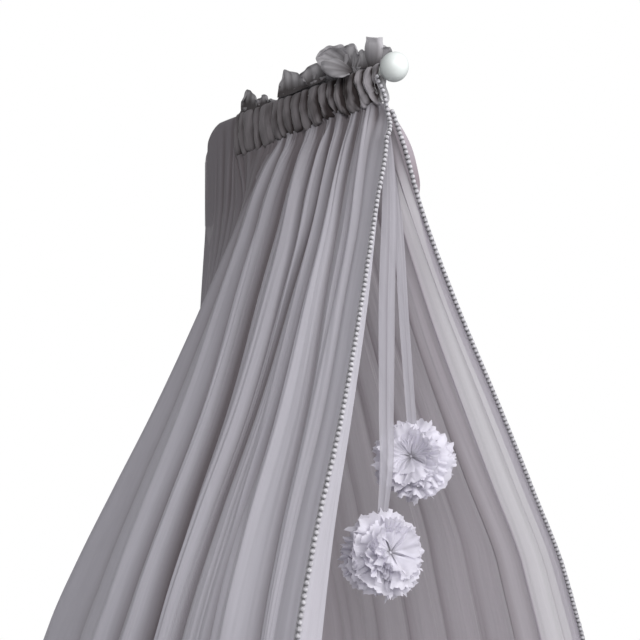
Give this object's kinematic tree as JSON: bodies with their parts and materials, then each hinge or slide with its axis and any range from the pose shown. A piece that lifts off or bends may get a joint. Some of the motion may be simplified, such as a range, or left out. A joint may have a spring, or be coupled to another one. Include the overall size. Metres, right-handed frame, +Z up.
{
  "type": "mosquito net canopy on a wall arm",
  "caption": "Voile bed canopy, gathered on a bent wall arm with a ball end, open at the front like a tent, with bobble-trimmed edges and hanging pompoms.",
  "frame": {"origin": "middle of the wall plate's back face, where it meets the wall", "axes": "+Z up, +Y into the wall, X across the bed; the arm stands out along -Y"},
  "size_m": [1.2428, 0.885, 2.2021],
  "materials": {
    "white_paint": "satin",
    "white_wood": "satin lacquer",
    "voile": "fine sheer weave, matt",
    "gathered_voile": "many gathered layers of sheer weave, matt",
    "bobble_trim": "woven tape with soft yarn bobbles",
    "pompom_voile": "cut strips of sheer weave"
  },
  "bodies": {
    "root": {"arm_tube": "white_paint", "wall_plate": "white_paint", "ball_finial": "white_wood", "heading": "gathered_voile", "panel_near": "voile", "panel_far": "voile", "trim_near": "bobble_trim", "trim_far": "bobble_trim", "ribbon_near": "voile", "ribbon_far": "voile", "pompom_lower": "pompom_voile", "pompom_upper": "pompom_voile"}
  },
  "joints": []
}
